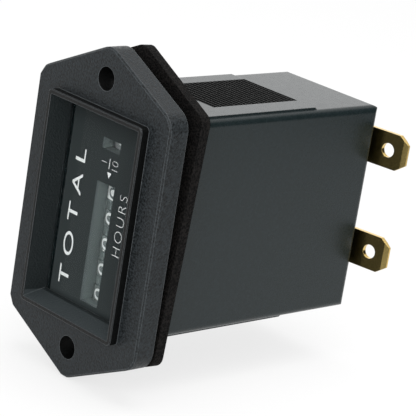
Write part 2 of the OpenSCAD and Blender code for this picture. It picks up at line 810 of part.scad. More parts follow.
// The stator: a pole ring round the magnet and two legs back to the coil's core
module stator() {
    leg_back = coil_y + core_w / 2;
    far_x = -leg_out_x - leg_w;
    color([0.55, 0.56, 0.58])
    difference() {
        along_z(stator_z, stator_top) {
            translate(axis_r) circle(pole_r + pole_wall);
            translate([leg_out_x, axis_r[1]]) square([leg_w, leg_back - axis_r[1]]);
            translate([leg_in_x, axis_r[1]]) square([leg_w, leg_turn_y + leg_w - axis_r[1]]);
            translate([far_x, leg_turn_y]) square([leg_in_x + leg_w - far_x, leg_w]);
            translate([far_x, leg_turn_y]) square([leg_w, leg_back - leg_turn_y]);
        }
        bar(axis_r, pole_r, stator_z - over, stator_top + over);
        for (turn = [0, 180])
            translate(axis_r) rotate(turn)
                block([-notch_half, pole_r + notch_neck, stator_z - over],
                    [notch_half, pole_r + pole_wall + over, stator_top + over]);
        for (p = stator_boss_at)
            bar(p, screw_core_r + fit, stator_z - over, stator_top + over);
    }
}

module coil_core() {
    half = leg_out_x + leg_w;
    color([0.55, 0.56, 0.58])
    block([-half, coil_y - core_w / 2, stator_top], [half, coil_y + core_w / 2, stator_top + core_t]);
}

// Square tube that the winding sits on, grown by a margin
module coil_tube(half, margin)
    block([-half, coil_y - core_w / 2 - margin, coil_z - core_t / 2 - margin],
        [half, coil_y + core_w / 2 + margin, coil_z + core_t / 2 + margin]);

module coil_bobbin() {
    half = coil_len / 2;
    middle = half + flange_gap / 2;
    color([0.2, 0.32, 0.26])
    difference() {
        union() {
            coil_tube(half, bobbin_wall);
            for (side = [-1, 1])
                block([side * middle - flange_gap / 2, coil_y - bobbin_side / 2, coil_z - bobbin_side / 2],
                    [side * middle + flange_gap / 2, coil_y + bobbin_side / 2, coil_z + bobbin_side / 2]);
        }
        coil_tube(half + flange_gap + over, 0);
    }
}
module coil_winding() {
    color([0.7, 0.36, 0.16])
    difference() {
        translate([-coil_len / 2, coil_y, coil_z]) rotate([0, 90, 0]) cylinder(d = winding_d, h = coil_len);
        coil_tube(coil_len, bobbin_wall);
    }
}
// Two stiff lead wires from the bobbin's flanges to the board
module coil_leads() {
    color([0.7, 0.36, 0.16])
    for (side = [-1, 1])
        translate([side * (coil_len + flange_gap) / 2, board_y, coil_z + bobbin_side / 4])
            rotate([90, 0, 0]) cylinder(r = lead_r, h = board_y - coil_y - bobbin_side / 2);
}

module circuit_board() {
    color([0.1, 0.32, 0.2])
    block([-board_w / 2, board_y, -board_h / 2], [board_w / 2, board_y + board_t, board_h / 2]);
}
module timing_chip() {
    half = chip_side / 2;
    color([0.08, 0.08, 0.09])
    translate([0, board_y, board_low + chip_up]) {
        block([-half, -chip_t, -half], [half, 0, half]);
        for (side = [-1, 1], k = [-1.5:1.5])
            translate([side * half, 0, k * chip_leg_pitch])
                block([-chip_leg[0], -chip_leg[1], -chip_leg[2] / 2], [chip_leg[0], 0, chip_leg[2] / 2]);
    }
}
module quartz_crystal() {
    color([0.75, 0.76, 0.77])
    translate([board_w / 2 - crystal_at[0], board_y - crystal_d / 2, board_low + crystal_at[1]])
        cylinder(d = crystal_d, h = crystal_len);
}
module smoothing_capacitor() {
    color([0.15, 0.18, 0.3])
    translate([capacitor_at[0] - board_w / 2, board_y, board_low + capacitor_at[1]]) rotate([90, 0, 0])
        cylinder(d = capacitor_d, h = capacitor_len);
}
module reverse_diode() {
    color([0.1, 0.1, 0.1])
    translate([board_w / 2 - diode_at[0], board_y - diode_d / 2, board_low + diode_at[1]]) rotate([0, 90, 0])
        cylinder(d = diode_d, h = diode_len);
}
module dropper_resistor() {
    color([0.72, 0.62, 0.46])
    translate([resistor_at[0] - board_w / 2, board_y - resistor_d / 2, board_low + resistor_at[1]])
        cylinder(d = resistor_d, h = resistor_len);
}

front_bezel();
panel_gasket();
rear_case();
lens();
dial_plate();
counter_mask();
terminal_upper();
terminal_lower();
counter_frame();
end_plate();
end_plate_screws();
drum_shaft();
pinion_shaft();
second_wheel_stud();
thousands_drum();
hundreds_drum();
tens_drum();
units_drum();
tenths_drum();
thousands_pinion();
hundreds_pinion();
tens_pinion();
units_pinion();
run_indicator();
second_wheel();
third_wheel();
rotor_arbor();
rotor_magnet();
stator();
stator_screws();
coil_core();
coil_bobbin();
coil_winding();
coil_leads();
circuit_board();
timing_chip();
quartz_crystal();
smoothing_capacitor();
reverse_diode();
dropper_resistor();
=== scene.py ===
# %% [markdown]
# # A panel hour meter
# This lesson dresses a small counting instrument: a black two-hole meter with a
# gasket, a clear lens, five number drums and two brass blades at the back.
# The shapes come from the CAD model and stay as they are. Blender adds the finishes,
# the print, a small comb behind the windows, the light and the camera. Lengths are in
# millimetres, and `MM` turns them into Blender's metres. The floor, the lamps and the card
# are given in metres.

import math

import bmesh
import bpy
import numpy as np
from mathutils import Matrix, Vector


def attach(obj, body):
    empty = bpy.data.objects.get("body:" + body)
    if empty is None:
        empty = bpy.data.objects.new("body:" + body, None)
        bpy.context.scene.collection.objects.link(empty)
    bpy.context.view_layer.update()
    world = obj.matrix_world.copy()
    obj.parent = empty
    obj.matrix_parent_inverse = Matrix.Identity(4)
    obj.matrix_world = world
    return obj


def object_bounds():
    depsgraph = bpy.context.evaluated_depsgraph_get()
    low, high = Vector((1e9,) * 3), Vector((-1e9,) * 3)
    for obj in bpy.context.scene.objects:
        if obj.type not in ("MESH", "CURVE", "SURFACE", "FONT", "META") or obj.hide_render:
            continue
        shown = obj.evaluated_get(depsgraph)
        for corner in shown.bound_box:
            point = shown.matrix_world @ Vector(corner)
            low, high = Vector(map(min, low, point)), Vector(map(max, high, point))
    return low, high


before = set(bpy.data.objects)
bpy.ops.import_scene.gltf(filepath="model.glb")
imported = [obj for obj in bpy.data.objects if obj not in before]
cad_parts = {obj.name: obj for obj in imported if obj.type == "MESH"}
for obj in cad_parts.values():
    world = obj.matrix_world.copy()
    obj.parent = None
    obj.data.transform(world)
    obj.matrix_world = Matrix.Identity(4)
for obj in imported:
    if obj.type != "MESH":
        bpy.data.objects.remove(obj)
cad_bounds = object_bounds()
MM = 0.001

# %% [markdown]
# ## Camera
# The camera was solved from straight edges of the flange and the case. A lens of
# 188 mm on a 36 mm sensor is a long view, so the far end of the case is hardly smaller
# than the near one. Its right and forward directions are made square to each other, and the
# columns of its matrix are right, up, backward and the place where it stands.

# %% Camera


def new_object(name, data):
    """An object that holds the data, linked into the scene at the origin."""
    made = bpy.data.objects.new(name, data)
    bpy.context.scene.collection.objects.link(made)
    return made


def unit(vector):
    """The vector divided by its own length."""
    return vector / np.linalg.norm(vector)


CAMERA_AT = np.array([245.754, -228.602, 104.975])
camera_data = bpy.data.cameras.new("camera")
camera = new_object("camera", camera_data)
camera_data.lens = 187.9
camera_data.sensor_width = 36.0
camera_data.clip_start = 0.01
right = unit(np.array([0.6742, 0.7222, 0.1545]))
up = unit(np.cross(right, np.array([-0.6682, 0.6855, -0.2891])))
forward = np.cross(up, right)
place = np.eye(4)
place[:3] = np.column_stack([right, up, -forward, CAMERA_AT * MM])
camera.matrix_world = Matrix(place.tolist())
bpy.context.scene.camera = camera
print("Camera stands", round(float(np.linalg.norm(CAMERA_AT)), 1), "mm from the meter")

# %% [markdown]
# ## Small helpers
# `linear` turns a paint-chart colour into the numbers a renderer adds up. `add` makes one
# shader node: plain values are set on its sockets, and a socket given as a value is linked.
# Every finish in this lesson starts from `new_material` and is built with these two.

# %% Helpers


def linear(chart):
    """sRGB hex to linear light with full opacity. A channel c becomes ((c + 0.055) / 1.055) ** 2.4,
    or c / 12.92 when it is dark."""
    c = np.array([int(chart[i:i + 2], 16) for i in (1, 3, 5)]) / 255
    bright = np.where(c <= 0.04045, c / 12.92, ((c + 0.055) / 1.055) ** 2.4)
    return (*map(float, bright), 1.0)


def add(tree, kind, sockets=(), **settings):
    """Adds one node of that kind; `sockets` maps a socket's name or number to a value or to a socket."""
    made = tree.nodes.new("ShaderNode" + kind)
    for name, value in settings.items():
        setattr(made, name, value)
    for name, value in dict(sockets).items():
        if isinstance(value, bpy.types.NodeSocket):
            tree.links.new(value, made.inputs[name])
        else:
            made.inputs[name].default_value = value
    return made


def new_material(name):
    """An empty material with its output node; gives the material, its tree and the output."""
    material = bpy.data.materials.new(name)
    material.use_nodes = True
    material.node_tree.nodes.clear()
    return material, material.node_tree, add(material.node_tree, "OutputMaterial")


print("Helpers ready")

# %% [markdown]
# ## A grained solid, and a patch laid over it
# Most pieces are one solid material with a fine grain: moulded, rolled, pressed or sprayed. A real grain
# is never one flat colour, so a single noise drives the tint, the shine and the relief together. Where a
# part of a piece differs, a mask between 0 and 1 lays another colour and roughness over it.

# %% Grain and patches
NOISE_RANGE = (0.3, 0.7)


def grained(name, dark, light, grain, rough, bump, stretch=(1, 1, 1), edge=0.05, **extra):
    """A solid with a fine grain. Noise with features `grain` mm wide, spread to its full range, blends two
    near colours, moves the roughness between the two values of `rough`, and lifts the surface by `bump` mm.
    `stretch` scales the point along x, y and z, so that a tenth draws the grain out ten times that way,
    `edge` is the radius in mm by which sharp edges shade as if they were rounded, and `extra` sets more
    sockets by name."""
    material, tree, output = new_material(name)
    coords = add(tree, "TexCoord")
    spread = add(tree, "Mapping", {"Vector": coords.outputs["Object"], "Scale": stretch})
    noise = add(tree, "TexNoise", {"Vector": spread.outputs[0], "Scale": 1 / (grain * MM), "Detail": 3.0})
    full = add(tree, "MapRange", {0: noise.outputs[0], 1: NOISE_RANGE[0], 2: NOISE_RANGE[1]})
    tint = add(tree, "Mix", {0: full.outputs[0], 6: linear(dark), 7: linear(light)}, data_type="RGBA")
    sheen = add(tree, "MapRange", {0: full.outputs[0], 3: rough[0], 4: rough[1]})
    soft = add(tree, "Bevel", {"Radius": edge * MM}, samples=6)
    relief = add(tree, "Bump", {"Height": full.outputs[0], "Distance": bump * MM, "Strength": 1.0,
                                "Normal": soft.outputs[0]})
    sockets = {"Base Color": tint.outputs[2], "Roughness": sheen.outputs[0], "Normal": relief.outputs[0]}
    sockets.update({key.replace("_", " "): value for key, value in extra.items()})
    skin = add(tree, "BsdfPrincipled", sockets)
    tree.links.new(skin.outputs[0], output.inputs[0])
    return material


def lay_over(material, mask, colour, rough):
    """Where `mask` is 1 the material takes another colour and roughness. Each is a straight blend by the
    mask, and `rough` is a number or a socket."""
    tree = material.node_tree
    skin = next(n for n in tree.nodes if n.bl_idname == "ShaderNodeBsdfPrincipled")
    was = {key: skin.inputs[key].links[0].from_socket for key in ("Base Color", "Roughness")}
    tint = add(tree, "Mix", {0: mask, 6: was["Base Color"], 7: linear(colour)}, data_type="RGBA")
    sheen = add(tree, "Mix", {0: mask, 2: was["Roughness"], 3: rough})
    tree.links.new(tint.outputs[2], skin.inputs["Base Color"])
    tree.links.new(sheen.outputs[0], skin.inputs["Roughness"])


print("Grain spreads noise from", *NOISE_RANGE)

# %% [markdown]
# ## Moulded plastics
# The flange is moulded in a spark-eroded tool, which leaves a fine matte grain. The case is
# from a smoother tool and has a satin shine. Both are nearly black, so what we see is mostly
# reflection: the roughness does more here than the colour.

# %% Moulded plastics
finish = {}
# Grey glints on black. The real grain is finer, and is drawn as coarse as it needs to show.
finish["bezel_black"] = grained(
    "polycarbonate, spark-grained black", "#010202", "#2c3134", 0.34, (0.28, 0.66), 0.05,
    edge=0.25, Specular_IOR_Level=0.2)
# An even black that mirrors the room softly.
finish["case_black"] = grained(
    "nylon, moulded satin black", "#172021", "#1a2325", 0.9, (0.25, 0.29), 0.0006,
    edge=0.4, Specular_IOR_Level=0.28)
print("Finishes so far:", len(finish))

# %% [markdown]
# ## Rim, recess and screw holes
# The raised rim and the recess in it come from smooth steel inserts in the mould, so they lack the pale
# grain and look blacker. The lower wall of the recess, which looks up, is painted a shade paler than the
# rest, as painted light, and the screw holes are painted near black inside, as painted shade. Each is found
# by its place, because the flange is one moulding: inside a box, or near the axis of a hole. The rim's box
# reaches just past its faces, and the recess's box ends just short of the land.

# %% Rim, recess and screw holes


def in_box(tree, spot, **sides):
    """1 inside a box and 0 elsewhere. `sides` gives a low and a high value in mm for X, Y or Z; the point is
    inside when it is no further from the middle of each pair than half their distance."""
    inside = None
    for axis, (low, high) in sides.items():
        near = add(tree, "Math", {0: spot.outputs[axis], 1: (low + high) / 2 * MM, 2: (high - low) / 2 * MM},
                   operation="COMPARE")
        if inside:
            near = add(tree, "Math", {0: inside.outputs[0], 1: near.outputs[0]}, operation="MULTIPLY")
        inside = near
    return inside.outputs[0]


RIM_FRONT = -5.5
RIM_BACK = -3.82
RIM_X = (-11.52, 11.52)
RIM_Z = (-18.22, 18.22)
RECESS_X = (-10.72, 10.72)
RECESS_Z = (-17.42, 17.42)
LOWER_WALL_BACK = -1.5
LOWER_WALL_Z = (-17.42, -16.38)
HOLE_Z = 22.85
HOLE_R = 1.97
bezel = finish["bezel_black"]
tree = bezel.node_tree
coords = add(tree, "TexCoord")
spot = add(tree, "SeparateXYZ", {0: coords.outputs["Object"]})
rim = in_box(tree, spot, X=RIM_X, Y=(RIM_FRONT, RIM_BACK), Z=RIM_Z)
lay_over(bezel, rim, "#060707", 0.4)
recess = in_box(tree, spot, X=RECESS_X, Z=RECESS_Z)
lay_over(bezel, recess, "#202526", 0.38)
# Painted light: the recess's lower wall faces up and is painted paler, as if lit from above.
painted_light_wall = in_box(tree, spot, X=RECESS_X, Y=(RIM_FRONT, LOWER_WALL_BACK), Z=LOWER_WALL_Z)
lay_over(bezel, painted_light_wall, "#363c3e", 0.5)
flat = add(tree, "VectorMath", {0: coords.outputs["Object"], 1: (1, 0, 1)}, operation="MULTIPLY")
# Painted shade: the walls inside the screw holes are painted near black.
for hole_z in (-HOLE_Z, HOLE_Z):
    away = add(tree, "VectorMath", {0: flat.outputs[0], 1: (0, 0, hole_z * MM)}, operation="DISTANCE")
    painted_shade_bore = add(tree, "Math", {0: away.outputs["Value"], 1: HOLE_R * MM}, operation="LESS_THAN")
    lay_over(bezel, painted_shade_bore.outputs[0], "#020303", 0.6)
print("Smooth rim, recess and two screw holes laid over:", bezel.name)

# %% [markdown]
# ## Painted edge highlights
# Thin pale lines are painted along the edges of the moulding: painted highlights, where its rounded edges
# would catch the light. The Bevel node gives the normal of a rounded edge. Where it leaves the true normal,
# the product of the two falls below 1, and there is an edge.

# %% Painted edge highlights
HIGHLIGHT_R = 0.14
HIGHLIGHT_STARTS = 0.995
HIGHLIGHT_FULL = 0.93
soft = add(tree, "Bevel", {"Radius": HIGHLIGHT_R * MM}, samples=8)
true = add(tree, "NewGeometry")
bend = add(tree, "VectorMath", {0: soft.outputs[0], 1: true.outputs["Normal"]}, operation="DOT_PRODUCT")
highlit = add(tree, "MapRange", {0: bend.outputs["Value"], 1: HIGHLIGHT_STARTS, 2: HIGHLIGHT_FULL})
# Painted highlight: the edges are painted pale, where small rounded edges would catch the light.
lay_over(bezel, highlit.outputs[0], "#555a5d", 0.3)
print("Edges rubbed over", HIGHLIGHT_R, "mm")

# %% [markdown]
# ## Ribbed field
# The field of fine ribs on the case is painted near black and is dull: the near black is painted shade that
# stands in for the shade in its grooves. The tops of the ribs have been wiped a little smoother than the
# grooves, which the height along z tells apart.

# %% Ribbed field
FIELD_X = (-7.05, 6.05)
FIELD_Y = (14.88, 34.52)
FIELD_Z = (18.02, 18.98)
RIB_TOP = (18.7, 18.74)
tree = finish["case_black"].node_tree
coords = add(tree, "TexCoord")
spot = add(tree, "SeparateXYZ", {0: coords.outputs["Object"]})
painted_shade_field = in_box(tree, spot, X=FIELD_X, Y=FIELD_Y, Z=FIELD_Z)
dull = add(tree, "MapRange", {0: spot.outputs["Z"], 1: RIB_TOP[0] * MM, 2: RIB_TOP[1] * MM, 3: 1.0, 4: 0.8})
# Painted shade: the whole ribbed area is painted near black, for the shade in its grooves.
lay_over(finish["case_black"], painted_shade_field, "#030404", dull.outputs[0])
print("Field runs from", FIELD_Y[0], "to", FIELD_Y[1], "mm behind the panel")

# %% [markdown]
# ## Small mouldings
# The counter's own parts are small mouldings. Acetal slides well without oil, so frame, wheels and
# pinions are made of it. Natural acetal is a milky white with an even sheen.

# %% Small mouldings
# A plain, milky white.
finish["frame_plastic"] = grained(
    "acetal, moulded natural white", "#c9c8bf", "#dad9d2", 0.6, (0.35, 0.5), 0.003)
# A creamier white, so that the wheels stand out from the frame.
finish["gear_plastic"] = grained(
    "acetal, moulded cream gears", "#d8d2bd", "#e6e1d0", 0.5, (0.3, 0.45), 0.003)
# A dull red that tells the coil apart at a glance.
finish["bobbin_plastic"] = grained(
    "nylon, moulded bobbin", "#8f1f1a", "#a82a22", 0.7, (0.35, 0.5), 0.004)
print("Finishes so far:", len(finish))

# %% [markdown]
# ## Painted and printed surfaces
# The dial is painted charcoal with a very fine tooth, which keeps glare off the figures. The
# wells around the drums are a greyer moulding, and the drums are near it in tone. White ink prints
# the dial and the grey drums, and the dial's charcoal prints the white drum.

# %% Dial, mask, drums and ink
# A dark, flat grey without glare.
finish["dial_charcoal"] = grained(
    "dial paint, sprayed charcoal", "#4e5657", "#565e5f", 0.25, (0.6, 0.75), 0.001, Specular_IOR_Level=0.3)
# A shade paler than the dial, so that the wells read as depth.
finish["mask_grey"] = grained(
    "polystyrene, moulded grey mask", "#535c5b", "#5a6463", 0.3, (0.55, 0.7), 0.001)
# A mid grey that turns dark in the shade of the wells.
finish["drum_black"] = grained(
    "polystyrene, moulded mid grey drum", "#5c6463", "#646d6c", 0.3, (0.6, 0.75), 0.001)
# An off-white that stays below full white beside the paper.
finish["drum_white"] = grained(
    "white ink and white drum plastic", "#c3c7c6", "#cfd3d2", 0.3, (0.5, 0.65), 0.001)
# A light grey, under the white of its marks.
finish["indicator_grey"] = grained(
    "acetal, moulded grey run indicator", "#8e9495", "#989e9f", 0.3, (0.5, 0.65), 0.001)
print("Finishes so far:", len(finish))

# %% [markdown]
# ## Metals
# Brass strip is rolled before it is stamped, so its grain is drawn out along the blade.
# The point is scaled to a tenth along x, which makes the lines ten times longer that way.

# %% Metals
# A soft gold with lines along the blade.
finish["brass_blade"] = grained(
    "brass, rolled and stamped", "#897848", "#a08d58", 0.12, (0.2, 0.27), 0.001, (0.1, 1, 1),
    edge=0.12, Metallic=1.0)
# Bright, with the draw lines along the shafts, which lie on z.
finish["steel"] = grained(
    "steel, drawn bright wire", "#a9aaa8", "#c8c9c7", 0.1, (0.2, 0.32), 0.002, (1, 1, 0.1), Metallic=1.0)
# A dull grey metal without a direction.
finish["stator_iron"] = grained(
    "silicon iron, punched sheet", "#6f7072", "#8a8b8d", 0.15, (0.35, 0.5), 0.003, Metallic=1.0)
# A ceramic, so it is dark and dry, not metallic.
finish["magnet"] = grained(
    "ferrite, pressed and ground", "#2e2f31", "#3d3e40", 0.08, (0.55, 0.75), 0.006)
# A warm silver with a clean shine.
finish["crystal_can"] = grained(
    "nickel silver, drawn can", "#b9b7af", "#d2d0c8", 0.2, (0.18, 0.3), 0.002, Metallic=1.0)
# Turns of wire, side by side, under a clear brown enamel.
finish["copper_wire"] = grained(
    "copper, enamelled winding", "#8e4a24", "#b96a38", 0.12, (0.25, 0.35), 0.02, (1, 1, 0.2), Metallic=1.0)
print("Finishes so far:", len(finish))

# %% [markdown]
# ## Sheared edges of the blades
# The punch that cuts a blade from the strip leaves its cut edges bare and burnished, so they shine paler
# than the rolled faces. The faces look along y; a point belongs to a cut edge where its normal doesn't.

# %% Sheared edges of the blades
FACE_COSINE = 0.5
tree = finish["brass_blade"].node_tree
shape = add(tree, "NewGeometry")
along_y = add(tree, "VectorMath", {0: shape.outputs["True Normal"], 1: (0, 1, 0)}, operation="DOT_PRODUCT")
facing = add(tree, "Math", {0: along_y.outputs["Value"]}, operation="ABSOLUTE")
sheared = add(tree, "Math", {0: facing.outputs[0], 1: FACE_COSINE}, operation="LESS_THAN")
lay_over(finish["brass_blade"], sheared.outputs[0], "#d8ba74", 0.2)
print("Cut edges burnished on:", finish["brass_blade"].name)

# %% [markdown]
# ## Small electronic parts
# These sit inside the case and show only when the model is opened.

# %% Electronic parts
# A glossy green skin over the weave of the glass.
finish["board_green"] = grained(
    "glass epoxy, green solder mask", "#12492b", "#1b6039", 0.8, (0.25, 0.4), 0.006)
# Fine and matte, like slate.
finish["chip_black"] = grained(
    "epoxy, moulded chip body", "#141415", "#1f1f20", 0.08, (0.5, 0.7), 0.004)
# A smooth blue film, drawn tight.
finish["capacitor_sleeve"] = grained(
    "shrink sleeve over aluminium can", "#16223f", "#1e2d52", 0.5, (0.25, 0.35), 0.004)
# A tan lacquer with a mild shine.
finish["resistor_body"] = grained(
    "lacquer on ceramic rod", "#b79a6e", "#c9ae84", 0.2, (0.35, 0.5), 0.005)
print("Finishes so far:", len(finish))

# %% [markdown]
# ## Gasket foam
# Closed-cell foam is cut from a sheet, so the cut opens some cells. Blender's cell texture, with cells
# about a third of a millimetre wide, gives the open pores, and a noise gives the larger lumps.

# %% Gasket foam
CELL = 0.36
LUMP = 1.1
PORE_DEPTH = 0.15
PORE_EDGE = (0.35, 0.75)
# Dull black all over, with pores as dark specks.
material, tree, output = new_material("neoprene foam, die-cut sheet")
coords = add(tree, "TexCoord")
cells = add(tree, "TexVoronoi", {"Vector": coords.outputs["Object"], "Scale": 1 / (CELL * MM)})
lumps = add(tree, "TexNoise", {"Vector": coords.outputs["Object"], "Scale": 1 / (LUMP * MM), "Detail": 2.0})
height = add(tree, "Math", {0: cells.outputs["Distance"], 1: lumps.outputs[0]}, operation="ADD")
open_cells = add(tree, "MapRange", {0: cells.outputs["Distance"], 1: PORE_EDGE[0], 2: PORE_EDGE[1]})
tint = add(tree, "Mix", {0: open_cells.outputs[0], 6: linear("#030303"), 7: linear("#181615")},
           data_type="RGBA")
relief = add(tree, "Bump", {"Height": height.outputs[0], "Distance": PORE_DEPTH * MM, "Strength": 1.0})
skin = add(tree, "BsdfPrincipled", {"Base Color": tint.outputs[2], "Roughness": 0.85,
                                    "Normal": relief.outputs[0], "Specular IOR Level": 0.1})
tree.links.new(skin.outputs[0], output.inputs[0])
finish["gasket_foam"] = material
print("Foam cells are", CELL, "mm wide")

# %% [markdown]
# ## Clear lens
# The lens is moulded acrylic with a coat against glare. The bare plastic has an index of 1.49 and
# would lay a grey veil over the dial, so a lower index stands in for the coat. Light on its way
# to the dial would be lost as a caustic, so shadow rays pass a plain transparent surface instead.

# %% Clear lens
LENS_IOR = 1.1
HAZE = 2.5
HAZE_ROUGHNESS = 0.012
CLEAR_WHITE = linear("#fdfefe")
# Clear, with a shine that is never quite perfect.
material, tree, output = new_material("acrylic, moulded clear lens")
coords = add(tree, "TexCoord")
haze = add(tree, "TexNoise", {"Vector": coords.outputs["Object"], "Scale": 1 / (HAZE * MM), "Detail": 2.0})
polish = add(tree, "MapRange", {0: haze.outputs[0], 3: 0.0, 4: HAZE_ROUGHNESS})
glass = add(tree, "BsdfPrincipled", {"Base Color": CLEAR_WHITE, "Transmission Weight": 1.0,
                                     "IOR": LENS_IOR, "Roughness": polish.outputs[0]})
clear = add(tree, "BsdfTransparent", {"Color": CLEAR_WHITE})
path = add(tree, "LightPath")
mix = add(tree, "MixShader", {0: path.outputs["Is Shadow Ray"], 1: glass.outputs[0], 2: clear.outputs[0]})
tree.links.new(mix.outputs[0], output.inputs[0])
finish["lens_clear"] = material
print("Finishes in all:", len(finish))

# %% [markdown]
# ## Give each CAD piece its finish
# Each CAD piece already has a material slot. The material in it carries the slot's name from the
# record, so the new finish goes where that name stands.

# %% Give each CAD piece its finish
dressed = 0
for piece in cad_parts.values():
    for held in piece.material_slots:
        held.material = finish[held.material.name.split(".")[0]]
        dressed += 1
print("CAD pieces dressed:", dressed)

# %% [markdown]
# ## Lettering
# A font gives flat outlines. The letters are read as points with `along` and `up`, scaled to a real
# height, and cut by level lines so that they can bend round a drum without their chords dipping in.

# %% Lettering
DRUM_X = -0.3
DRUM_Y = 8.4
DIAL_FRONT = 0.0
INK = 0.015
LEVEL_STEP = 0.25


def points_of(mesh):
    """The mesh's vertices as an array of (x, y, z) rows."""
    co = np.empty(len(mesh.vertices) * 3, np.float32)
    mesh.vertices.foreach_get("co", co)
    return co.reshape(-1, 3).astype(float)


def lettering(words, height, length=None, bold=0.0, spacing=1.0):
    """Flat letters as (points, faces). Points are (along, up) in mm about the middle, scaled to `height`,
    stretched to `length` where one is given, and cut at every LEVEL_STEP of height by level lines.
    `bold` moves the outlines outwards, and `spacing` widens the steps between letters."""
    curve = bpy.data.curves.new("letters", "FONT")
    curve.body = words
    curve.offset = bold
    curve.space_character = spacing
    curve.resolution_u = 5
    maker = new_object("letters", curve)
    graph = bpy.context.evaluated_depsgraph_get()
    mesh = bpy.data.meshes.new_from_object(maker.evaluated_get(graph))
    co = points_of(mesh)
    low, high = co.min(0), co.max(0)
    tall = height / (high[1] - low[1])
    wide = length / (high[0] - low[0]) if length else tall
    co = (co - (low + high) / 2) * [wide, tall, 1]
    mesh.vertices.foreach_set("co", co.astype(np.float32).ravel())
    shape = bmesh.new()
    shape.from_mesh(mesh)
    for level in np.arange(-height / 2 + LEVEL_STEP, height / 2, LEVEL_STEP):
        parts = list(shape.verts) + list(shape.edges) + list(shape.faces)
        bmesh.ops.bisect_plane(shape, geom=parts, plane_co=(0, level, 0), plane_no=(0, 1, 0))
    shape.to_mesh(mesh)
    shape.free()
    points = points_of(mesh)[:, :2]
    faces = [list(polygon.vertices) for polygon in mesh.polygons]
    bpy.data.objects.remove(maker)
    bpy.data.meshes.remove(mesh)
    bpy.data.curves.remove(curve)
    return points, faces


def on_dial(points, x, z):
    """Flat print about (x, z): along runs up the dial as +z, up runs to the left as -x, and all of it
    stands the ink's thickness in front of the dial."""
    depth = np.full(len(points), DIAL_FRONT - INK)
    return np.stack([x - points[:, 1], depth, z + points[:, 0]], 1)


def on_drum(points, turn, z, radius):
    """Print round a drum: up becomes an angle of up / radius, from the front towards -x, less `turn`;
    the point stands at that angle on the radius, and along runs as +z."""
    angle = points[:, 1] / radius - math.radians(turn)
    x = DRUM_X - radius * np.sin(angle)
    y = DRUM_Y - radius * np.cos(angle)
    return np.stack([x, y, z + points[:, 0]], 1)


def inked(name, parts, body, slot):
    """Joins (points, faces) parts into one mesh in metres, gives it the slot's finish and its body."""
    points, faces, start = [], [], 0
    for co, polygons in parts:
        points.append(co)
        faces.extend([[i + start for i in polygon] for polygon in polygons])
        start += len(co)
    mesh = bpy.data.meshes.new(name)
    mesh.from_pydata((np.concatenate(points) * MM).tolist(), [], faces)
    mesh.materials.append(finish[slot])
    piece = new_object(name, mesh)
    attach(piece, body)
    print(name, "has", len(faces), "faces and rides on", body)


print("Ink stands", INK, "mm proud of the dial and the drums")

# %% [markdown]
# ## Dial print
# The dial reads from the bottom to the top. It carries a legend, the unit, and a pointer with a
# fraction that says what the white drum counts: tenths of an hour.

# %% Dial print
FRACTION_Z = 8.4
BAR_X = -0.15
POINTER_AT = (0.1, 6.5)
# Each row: the words, their height, length, boldness and spacing, and the x and z of their middle.
DIAL_WORDS = (
    ("TOTAL", 2.4, 23.6, 0.0, 1.5, -7.2, -2.85),
    ("HOURS", 1.75, 10.3, -0.028, 1.25, 4.35, -0.75),
    ("1", 1.3, None, -0.03, 1.0, -1.45, FRACTION_Z),
    ("10", 1.4, None, -0.03, 1.0, 1.2, FRACTION_Z),
)
dial_parts = []
for words, height, length, bold, spacing, x, z in DIAL_WORDS:
    points, faces = lettering(words, height, length, bold, spacing)
    dial_parts.append((on_dial(points, x, z), faces))
bar = np.array([[-0.85, -0.07], [0.85, -0.07], [0.85, 0.07], [-0.85, 0.07]])
pointer = np.array([[-0.5, 0.0], [0.45, 0.5], [0.45, -0.5]])
dial_parts.append((on_dial(bar, BAR_X, FRACTION_Z), [[0, 1, 2, 3]]))
dial_parts.append((on_dial(pointer, *POINTER_AT), [[0, 2, 1]]))
inked("dial_print", dial_parts, "meter", "drum_white")

# %% [markdown]
# ## Figures on the drums
# Ten figures stand 36 degrees apart. As time runs the drum rolls towards the top of the
# figures, so each next figure stands below the last. A counter seldom rests dead on its window, so the row
# stands 0.3 mm high. The tenths drum is white with dark figures. A small tick beside each figure of
# the tens drum parts the hundreds from the tens.

# %% Figures on the drums
DRUM_R = 6.0
DRUM_PITCH = 4.4
FIRST_DRUM_Z = -14.65
DRUMS = ("thousands", "hundreds", "tens", "units", "tenths")
OFF_MIDDLE = 0.3
FIGURE_H = 3.0
FIGURE_W = 2.0
ONE_W = 1.1
FIGURES = 10
STEP = 360 / FIGURES
figures = []
for k in range(FIGURES):
    co, faces = lettering(str(k), FIGURE_H, ONE_W if k == 1 else FIGURE_W)
    figures.append((co + [0, OFF_MIDDLE], faces))
tick = np.array([[-1.27, 0.55], [-1.1, 0.75], [-1.1, 1.2], [-1.27, 1.2]])
drum_places = {drum: FIRST_DRUM_Z + DRUM_PITCH * k for k, drum in enumerate(DRUMS)}
for drum, z in drum_places.items():
    parts = [(on_drum(co, STEP * k, z, DRUM_R + INK), faces) for k, (co, faces) in enumerate(figures)]
    if drum == "tens":
        parts += [(on_drum(tick, STEP * k, z, DRUM_R + INK), [[0, 1, 2, 3]]) for k in range(FIGURES)]
    ink = "dial_charcoal" if drum == "tenths" else "drum_white"
    inked(drum + "_figures", parts, drum, ink)

# %% [markdown]
# ## Comb behind the windows
# The drums carry their gears between the number bands. A comb on the back of the window wells hides them:
# two rails carry the walls of the wells down to the drums, and a curved finger crosses each gap, level with
# the bands and clear of the gears. Rails and fingers are profiles in the x-y plane, carried along z.

# %% Comb behind the windows


